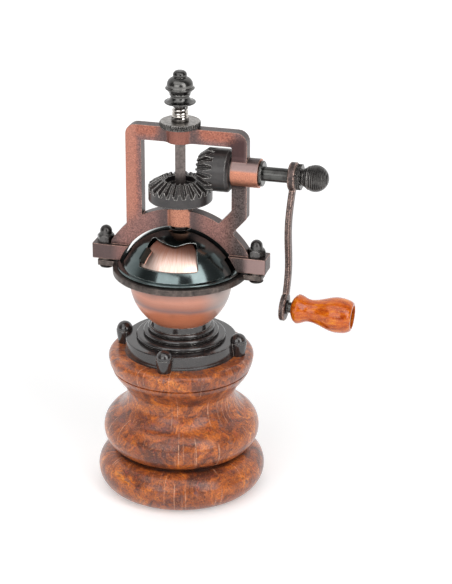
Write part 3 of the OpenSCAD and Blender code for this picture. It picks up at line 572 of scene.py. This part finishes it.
# Copper with painted reflections and the painted shadow under the ring, from bottom to top.
BOWL_COPPER_AND_PAINTED_REFLECTIONS = [(0.1, tint(222, 134, 100)), (0.36, tint(218, 134, 98)), (0.45, tint(202, 126, 94)),
              (0.51, tint(138, 108, 104)), (0.58, tint(176, 122, 104)), (0.67, tint(200, 142, 122)),
              (0.76, tint(166, 126, 114)), (0.84, tint(104, 90, 88))]
BOWL_SPUN = tint(186, 112, 84)
# A painted reflection on the right side.
BOWL_PAINTED_REFLECTION = tint(170, 164, 161)
BOWL_SPECK = tint(150, 92, 74)
BOWL_REFLECTION_START_X = 13
BOWL_REFLECTION_END_X = 22


def copper_sheet():
    material, tree, surface = new_material("copper_sheet")
    low, high = size_of("hopper_bowl")
    x, _, z = axes(tree)
    point = in_millimetres(tree)
    spun = noise(tree, in_millimetres(tree, (0.08, 0.08, 2.2)), 1.6, 3)
    height = calc(tree, "DIVIDE", calc(tree, "SUBTRACT", z, low[2]), high[2] - low[2])
    height = calc(tree, "MULTIPLY_ADD", noise(tree, point, 0.06, 2), 0.12,
                  calc(tree, "SUBTRACT", height, 0.06))
    # Painted reflections and shadow: the colour changes with height in bands.
    colour = ramp(tree, height, BOWL_COPPER_AND_PAINTED_REFLECTIONS)
    colour = stain(tree, colour, fade(tree, spun, 0.4, 0.7), 0.2, BOWL_SPUN)
    # Painted reflection: the right side pales to grey.
    colour = stain(tree, colour, fade(tree, x, BOWL_REFLECTION_START_X, BOWL_REFLECTION_END_X), 0.75, BOWL_PAINTED_REFLECTION)
    specks = fade(tree, noise(tree, point, 2.4, 3, 0.7), 0.56, 0.7)
    colour = stain(tree, colour, specks, 0.32, BOWL_SPECK)
    rough = calc(tree, "MULTIPLY_ADD", noise(tree, point, 0.5, 4), 0.12, 0.3)
    shiny = calc(tree, "MULTIPLY_ADD", fade(tree, height, 0.3, 0.6), 0.5, 0.22)
    body = add(tree, "BsdfPrincipled", {"Base Color": colour, "Metallic": shiny, "Roughness": rough,
                                        "Coat Weight": 0.25, "Coat Roughness": 0.08,
                                        "Normal": bump(tree, spun, 0.06, 0.08)})
    tree.links.new(body, surface)
    return material


dress(copper_sheet(), "hopper_bowl")


# ---------------------------------------------------------------- Clamp ring, bolts and acorn nuts
# The ring is a bronzed casting that clamps the bowl and the dome. Two bolts with acorn nuts hold
# it under the ears of the yoke. The dark finish is pale on the edges, partly from rubbing and partly a
# painted highlight.

GUNMETAL = metal("gunmetal", tint(94, 92, 91), tint(70, 68, 67), gloss=0.28, spread=0.08, scale=0.25,
                 edge_wear_and_shine=0.4)
dress(RING_BRONZE, "clamp_ring")
dress(GUNMETAL, "ear_bolts", "acorn_nuts")


# ---------------------------------------------------------------- Dome and door
# The dome is spun steel in black chrome with a faint blue-green cast, and a steel bush at its pole is
# the pivot of the door. The door is a copper leaf, brushed from pole to sill, that slides round under
# the dome by a small black thumb tab. The leaf's top is darkened as a painted reflection.

# The radius of the dome, and how far its centre is below its rim, in millimetres.
DOME_R = 28.3
DOME_DROP = 9.6

CHROME_LIGHT = tint(128, 140, 140)
CHROME_DARK = tint(62, 73, 74)
CHROME_EDGE_RUB_AND_SHINE = tint(232, 232, 228)
LEAF_LIGHT = tint(254, 234, 226)
LEAF_DARK = tint(230, 188, 168)
LEAF_TOP_PAINTED_DARK = tint(124, 64, 38)
TAB_BLACK = tint(44, 50, 49)


def black_chrome():
    material, tree, surface = new_material("black_chrome")
    point = in_millimetres(tree)
    worn_and_highlit, rounded = edges(tree, 0.22)
    colour = blend(tree, noise(tree, point, 0.08, 3), CHROME_LIGHT, CHROME_DARK)
    # Edges lightened: partly from rubbing, partly a painted highlight.
    colour = stain(tree, colour, worn_and_highlit, 0.7, CHROME_EDGE_RUB_AND_SHINE)
    rough = calc(tree, "MULTIPLY_ADD", noise(tree, point, 0.8, 4), 0.05, 0.12)
    body = add(tree, "BsdfPrincipled", {"Base Color": colour, "Metallic": 1.0, "Roughness": rough,
                                        "Normal": rounded})
    tree.links.new(body, surface)
    return material


def brushed_copper():
    material, tree, surface = new_material("brushed_copper")
    centre_z = size_of("hopper_dome")[0][2] - DOME_DROP
    leaf_top = size_of("hopper_door")[1][2]
    z = axes(tree)[2]
    fine = noise(tree, stretched(tree, around(tree, DOME_R), (1, 0.03, 0.03)), 3.2, 3, 0.6)
    colour = blend(tree, fade(tree, fine, 0.3, 0.7), LEAF_LIGHT, LEAF_DARK)
    # Painted reflection: the leaf darkens towards its top.
    colour = stain(tree, colour, fade(tree, z, leaf_top - 11, leaf_top - 4), 0.85, LEAF_TOP_PAINTED_DARK)
    out = add(tree, "VectorMath", {0: in_millimetres(tree), 1: (0, 0, centre_z)},
              out="Value", operation="DISTANCE")
    tab = fade(tree, out, DOME_R - 1, DOME_R - 0.7)
    colour = blend(tree, tab, colour, TAB_BLACK)
    rough = calc(tree, "MULTIPLY_ADD", tab, -0.2, calc(tree, "MULTIPLY_ADD", fine, 0.2, 0.26))
    body = add(tree, "BsdfPrincipled", {"Base Color": colour, "Metallic": 1.0, "Roughness": rough,
                                        "Normal": bump(tree, fine, 0.2, 0.08)})
    tree.links.new(body, surface)
    return material


dress(black_chrome(), "hopper_dome")
dress(brushed_copper(), "hopper_door")
dress(STEEL, "door_pivot")


# ---------------------------------------------------------------- Yoke frame
# The yoke is one zinc casting in antique copper: plated, blackened and then relieved on a belt. Copper
# shows on the fronts of the left leg, the top bar and the bosses, and a little on the arch; the right leg
# and the ears are purple-brown or grey. Sides, tops and hollows are darker, partly patina and partly
# painted shade. Painted shade lies beside the bosses, and the crank boss has a painted highlight and a
# painted grey reflection on its top.

# The inner sides of the legs, where the ears begin, the height of the top bar, and the radii of the
# bosses on the shaft and on the axle, in millimetres.
LEFT_LEG_X = -17
RIGHT_LEG_X = 24
EAR_X = 29
BAR_H = 6.5
COLUMN_R = 6.0
CRANK_BOSS_R = 6.5

YOKE_SIDES_PATINA_AND_SHADE = [(0.35, tint(66, 58, 58)), (0.65, tint(104, 92, 90))]
YOKE_FRONT = [(0.35, tint(90, 74, 73)), (0.65, tint(146, 112, 108))]
YOKE_DARK_LEG = [(0.38, tint(54, 47, 46)), (0.6, tint(96, 86, 84))]
YOKE_HALF_RELIEVED = [(0.35, tint(124, 82, 74)), (0.65, tint(188, 128, 110))]
YOKE_COPPER = [(0.32, tint(112, 74, 66)), (0.5, tint(154, 96, 80)), (0.68, tint(184, 124, 106))]
YOKE_CORNER = tint(72, 54, 54)
LEFT_EAR = tint(70, 66, 66)
RIGHT_EAR = tint(160, 134, 130)
BOSS_SIDE_PAINTED_SHADE = tint(80, 71, 70)
LOW_BOSS_COPPER = tint(192, 134, 110)
TOP_BOSS_COPPER = tint(124, 84, 76)
LEG_COPPER = tint(206, 154, 136)
CRANK_BOSS_COPPER_AND_HIGHLIGHT = tint(208, 142, 114)
CRANK_BOSS_PAINTED_REFLECTION = tint(138, 124, 123)
YOKE_EDGE_RUB_AND_SHINE = tint(230, 184, 164)


def copper_casting():
    material, tree, surface = new_material("copper_casting")
    worn_and_highlit, rounded = edges(tree, 0.4)
    height, blotches, speckle = grain(tree)
    x, y, z = axes(tree)
    side = calc(tree, "ABSOLUTE", x)
    facing = add(tree, "SeparateXYZ", {0: add(tree, "NewGeometry", out="Normal")})
    front = fade(tree, calc(tree, "MULTIPLY", facing.node.outputs["Y"], -1.0), 0.3, 0.85)
    up = facing.node.outputs["Z"]
    axle_low, axle_high = size_of("crank_axle")
    axle_z = (axle_low[2] + axle_high[2]) / 2
    dome_top = size_of("hopper_dome")[1][2]
    bar_z = size_of("yoke_frame")[1][2] - BAR_H

    # The places where copper shows: the left leg, the top bar, the bosses and the crank boss.
    left_leg = times(tree, fade(tree, x, LEFT_LEG_X + 1.5, LEFT_LEG_X - 3.5),
                     fade(tree, z, dome_top - 6, dome_top + 12))
    inner = times(tree, fade(tree, x, LEFT_LEG_X - 7, LEFT_LEG_X + 1), 0.4)
    left_leg = calc(tree, "SUBTRACT", left_leg, inner)
    top_bar = times(tree, fade(tree, z, bar_z - 1, bar_z + 4.5),
                    fade(tree, x, RIGHT_LEG_X + 5, RIGHT_LEG_X - 5))
    bosses = fade(tree, side, COLUMN_R, 4.4)
    # Painted shade: the fillets beside the bosses are darkened and kept without copper.
    shaded_shoulder = times(tree, fade(tree, side, 12.5, 7), fade(tree, side, 4.4, COLUMN_R))
    boss_reach = off_axis(tree, y, off(tree, z, axle_z))
    crank_boss = times(tree, fade(tree, x, RIGHT_LEG_X - 1, RIGHT_LEG_X + 1),
                       fade(tree, boss_reach, CRANK_BOSS_R + 0.12, CRANK_BOSS_R + 0.03))
    relief = calc(tree, "MAXIMUM", calc(tree, "MAXIMUM", left_leg, top_bar),
                  calc(tree, "MAXIMUM", bosses, crank_boss))
    # Copper only on faces towards the front and not on tops: partly from the belt, partly painted shade.
    relief = times(tree, relief, fade(tree, up, 0.88, 0.74),
                   calc(tree, "SUBTRACT", 1.0, times(tree, shaded_shoulder, 0.9)))
    rubbed_and_lit = times(tree, calc(tree, "MAXIMUM", front, crank_boss), relief)
    uneven = calc(tree, "ADD", calc(tree, "MULTIPLY_ADD", blotches, 0.5, -0.25),
                  calc(tree, "MULTIPLY_ADD", speckle, 0.7, -0.35))
    rubbed_and_lit = calc(tree, "ADD", rubbed_and_lit, uneven)

    # The front where no copper shows: darker on the right leg and the left ear, darker beside the bosses
    # as painted shade, and paler on the right ear.
    plain_front = ramp(tree, speckle, YOKE_FRONT)
    low_right = times(tree, fade(tree, x, RIGHT_LEG_X - 6, RIGHT_LEG_X), fade(tree, z, axle_z, axle_z - 8))
    plain_front = blend(tree, low_right, plain_front, ramp(tree, speckle, YOKE_DARK_LEG))
    high_right = times(tree, fade(tree, x, RIGHT_LEG_X - 4, RIGHT_LEG_X),
                       fade(tree, z, axle_z + 2, axle_z + 6), fade(tree, z, bar_z + 7, bar_z + 2))
    plain_front = blend(tree, high_right, plain_front, YOKE_CORNER)
    plain_front = stain(tree, plain_front, fade(tree, x, -EAR_X + 3, -EAR_X - 3), 0.65, LEFT_EAR)
    plain_front = stain(tree, plain_front, fade(tree, x, EAR_X, EAR_X + 4), 0.75, RIGHT_EAR)
    plain_front = stain(tree, plain_front, shaded_shoulder, 0.7, BOSS_SIDE_PAINTED_SHADE)
    relieved = ramp(tree, speckle, YOKE_HALF_RELIEVED)
    arch_height = fade(tree, z, dome_top + 20, dome_top + 12)
    arch_left = times(tree, arch_height, fade(tree, x, -6, -19), fade(tree, x, -32, -24))
    plain_front = stain(tree, plain_front, arch_left, 0.25, relieved)
    arch_right = times(tree, arch_height, fade(tree, x, 6, 14), fade(tree, x, 28, 20))
    plain_front = stain(tree, plain_front, arch_right, 0.3, relieved)
    # Sides and tops take the darker colour, partly patina and partly painted shade.
    dull = blend(tree, front, ramp(tree, speckle, YOKE_SIDES_PATINA_AND_SHADE), plain_front)

    # The copper itself: brightest on the lower and the crank boss; on the crank boss partly as a painted
    # highlight, with a painted grey reflection on its top.
    copper = ramp(tree, speckle, YOKE_COPPER)
    column = fade(tree, side, COLUMN_R, 5.0)
    low_boss = times(tree, column, fade(tree, z, dome_top + 22, dome_top + 18))
    copper = stain(tree, copper, low_boss, fade(tree, speckle, 0.3, 0.6), LOW_BOSS_COPPER)
    top_boss = times(tree, column, fade(tree, z, bar_z - 4, bar_z))
    copper = stain(tree, copper, top_boss, 0.6, TOP_BOSS_COPPER)
    copper = stain(tree, copper, fade(tree, x, LEFT_LEG_X - 1, LEFT_LEG_X - 4), 0.25, LEG_COPPER)
    grainy = calc(tree, "MULTIPLY_ADD", speckle, 1.3, -0.1)
    # Painted highlight: the crank boss is brightened in speckles.
    copper = stain(tree, copper, crank_boss, grainy, CRANK_BOSS_COPPER_AND_HIGHLIGHT)
    # Painted reflection: the top of the crank boss turns grey.
    boss_top_reflection = times(tree, crank_boss, fade(tree, up, 0.24, 0.42))
    copper = stain(tree, copper, boss_top_reflection, 0.85, CRANK_BOSS_PAINTED_REFLECTION)

    colour = blend(tree, fade(tree, rubbed_and_lit, 0.0, 0.95), dull, copper)
    # Edges lightened: partly from rubbing, partly a painted highlight.
    colour = stain(tree, colour, worn_and_highlit, 0.85, YOKE_EDGE_RUB_AND_SHINE)
    rough = calc(tree, "MULTIPLY_ADD", speckle, 0.22, 0.26)
    body = add(tree, "BsdfPrincipled", {"Base Color": colour, "Metallic": 0.9, "Roughness": rough,
                                        "Normal": bump(tree, height, 0.35, 0.22, rounded)})
    tree.links.new(body, surface)
    return material


dress(copper_casting(), "yoke_frame")


# ---------------------------------------------------------------- Shaft, gears and adjuster
# The square steel shaft hangs on a knurled nut above the top bar, and a short spring under the
# finial keeps it from turning loose. The gears are blackened castings with bright tooth edges, and a
# steel washer parts the pinion from its boss.

SHAFT_STEEL = metal("shaft_steel", tint(122, 113, 109), tint(98, 90, 88), gloss=0.45, spread=0.1, edge_wear_and_shine=0.1)
# The bright tooth edges are partly a painted highlight.
GEAR_BLACK = black_casting("gear_black", gloss=0.3, edge_wear_and_shine=1.0, edge=0.4, index=1.55)
FINIAL_METAL = metal("finial_metal", tint(104, 103, 101), tint(80, 79, 78), gloss=0.2, spread=0.06,
                     scale=0.2, edge_wear_and_shine=0.35)
# Painted shade: the nut's upright faces are darkened.
NUT_METAL = metal("nut_metal", tint(178, 174, 170), tint(134, 130, 126), gloss=0.36, spread=0.12,
                  edge_wear_and_shine=0.5, sides=0.14)
CUP_METAL = metal("cup_metal", tint(128, 124, 120), tint(92, 89, 86), gloss=0.3, spread=0.1, edge_wear_and_shine=0.4)
SPRING_STEEL = metal("bright_steel", tint(236, 232, 226), tint(196, 190, 184), gloss=0.12, spread=0.06)
dress(SHAFT_STEEL, "drive_shaft")
dress(GEAR_BLACK, "crown_gear", "pinion_gear")
dress(FINIAL_METAL, "finial_knob")
dress(NUT_METAL, "adjusting_nut")
dress(CUP_METAL, "spring_cup")
dress(SPRING_STEEL, "tension_spring")
dress(STEEL, "thrust_washer")


# ---------------------------------------------------------------- Crank
# The axle, its collar and the ball nut are black steel. The cast arm is bronzed like the ring, and
# the turned hardwood grip is stained orange under a thick, slightly lumpy varnish.

GRIP_TONES = [(0.3, tint(148, 50, 2)), (0.5, tint(200, 88, 2)), (0.7, tint(230, 130, 8))]
GRIP_FLECK = tint(252, 176, 74)


def varnished_wood():
    material, tree, surface = new_material("varnished_wood")
    colour = ramp(tree, noise(tree, in_millimetres(tree, (0.35, 1, 1)), 0.55, 5, 0.6), GRIP_TONES)
    flecks = fade(tree, noise(tree, in_millimetres(tree, (0.5, 1, 1)), 2.6, 3), 0.56, 0.68)
    colour = stain(tree, colour, flecks, 0.35, GRIP_FLECK)
    lumps = noise(tree, in_millimetres(tree), 1.1, 3)
    rough = calc(tree, "MULTIPLY_ADD", lumps, 0.1, 0.2)
    body = add(tree, "BsdfPrincipled", {"Base Color": colour, "Roughness": rough,
                                        "Specular IOR Level": 0.2,
                                        "Coat Weight": 0.7, "Coat Roughness": 0.06,
                                        "Normal": bump(tree, lumps, 0.35, 0.25)})
    tree.links.new(body, surface)
    return material


# The arm's wide pale edges are partly from rubbing and partly a painted highlight on its rounded edges.
ARM_BRONZE = bronze_casting("arm_bronze", tint(56, 50, 50), tint(84, 74, 72), tint(116, 98, 94),
                            tint(244, 208, 192), edge_wear_and_shine=1.0, edge=0.9)
BLACK_STEEL = metal("black_steel", tint(84, 84, 82), tint(60, 59, 58), gloss=0.2, spread=0.06,
                    scale=0.25, edge_wear_and_shine=0.5)
BALL_STEEL = metal("ball_steel", tint(92, 90, 88), tint(66, 64, 63), gloss=0.24, spread=0.08,
                   scale=0.25, edge_wear_and_shine=0.6, rings=1.1)
dress(varnished_wood(), "handle_grip")
dress(ARM_BRONZE, "crank_arm")
dress(BLACK_STEEL, "crank_axle", "axle_collar", "handle_pin")
dress(BALL_STEEL, "ball_nut")
